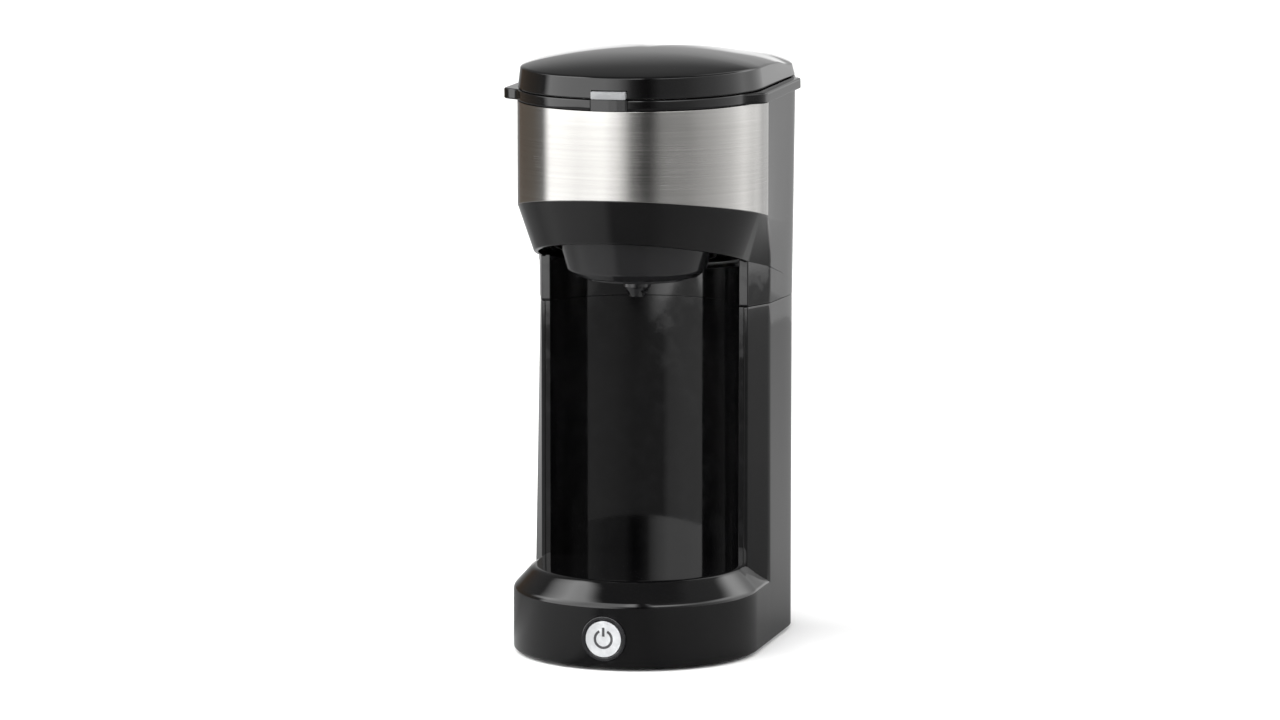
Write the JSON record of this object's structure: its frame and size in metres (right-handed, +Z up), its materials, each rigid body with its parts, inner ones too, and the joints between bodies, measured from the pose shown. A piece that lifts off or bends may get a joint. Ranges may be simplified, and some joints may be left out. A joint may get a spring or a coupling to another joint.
{
  "type": "drip coffee maker",
  "caption": "Tall one-cup drip coffee maker: round base with power button, concave mug bay, steel-banded head, lift-out brew basket and a domed lid hinged at the rear.",
  "frame": {"origin": "middle of the footprint, on the surface the feet stand on", "axes": "+Z up; the button, band and latch face -Y; the lid's hinge line runs along X at the rear (+Y)"},
  "size_m": [0.1256, 0.15, 0.2814],
  "materials": {
    "black_gloss": "high gloss black",
    "dark_plastic": "satin",
    "steel_band": "fine horizontal brushing",
    "steel": "satin",
    "grey_plastic": "satin",
    "silver_button": "silver paint, satin",
    "tank": "smoked translucent",
    "silicone": "matte",
    "rubber": "matte",
    "aluminium": "as cast",
    "mesh": "fine woven mesh"
  },
  "bodies": {
    "body": {"lower_housing": "black_gloss", "recess_liner": "black_gloss", "upper_housing": "black_gloss", "steel_band": "steel_band", "basket_well": "dark_plastic", "top_collar": "black_gloss", "latch_spring": "steel", "water_tank": "tank", "check_valve": "grey_plastic", "inlet_hose": "silicone", "heater_tube": "aluminium", "heater_bracket": "steel", "thermostat": "dark_plastic", "thermal_fuse": "silicone", "riser_hose": "silicone", "outlet_port": "silicone", "hose_clips": "steel", "button_bezel": "dark_plastic", "button_spring": "steel", "power_switch": "dark_plastic", "wiring": "rubber", "bottom_cover": "dark_plastic", "rubber_feet": "rubber", "base_screws": "steel", "housing_screws": "steel", "cord_gland": "rubber"},
    "lid": {"lid_shell": "black_gloss", "lid_liner": "dark_plastic", "lid_gasket": "silicone", "water_channel": "grey_plastic", "shower_head": "grey_plastic", "hinge_pin": "steel"},
    "latch": {"latch_button": "grey_plastic", "latch_tongue": "black_gloss"},
    "basket": {"brew_basket": "dark_plastic", "drip_nozzle": "dark_plastic"},
    "filter": {"filter_frame": "dark_plastic", "filter_mesh": "mesh"},
    "button": {"power_button": "silver_button", "button_symbol": "dark_plastic"}
  },
  "joints": [
    {"name": "lid_hinge", "type": "hinge", "parent": "body", "child": "lid", "pos_m": [0, 0.06854, 0.26981], "axis": [-1, 0, 0], "range_deg": [0, 100]},
    {"name": "latch_press", "type": "slide", "parent": "body", "child": "latch", "axis": [0, 0.9994, 0.0359], "range_m": [0, 0.0015], "stiffness_N_per_m": 400, "springref_m": -0.002, "deforming": ["latch_spring"]},
    {"name": "power_press", "type": "slide", "parent": "body", "child": "button", "axis": [0, 1, 0], "range_m": [0, 0.0015], "stiffness_N_per_m": 400, "springref_m": -0.002, "deforming": ["button_spring"]},
    {"name": "basket_lift", "type": "slide", "parent": "body", "child": "basket", "axis": [0, 0, 1], "range_m": [0, 0.044]},
    {"name": "filter_lift", "type": "slide", "parent": "basket", "child": "filter", "axis": [0, 0, 1], "range_m": [0, 0.027]}
  ],
  "couplings": [
    {"joint": "basket_lift", "follows": "lid_hinge", "m_per_rad": 0.025},
    {"joint": "filter_lift", "follows": "lid_hinge", "m_per_rad": 0.015}
  ]
}
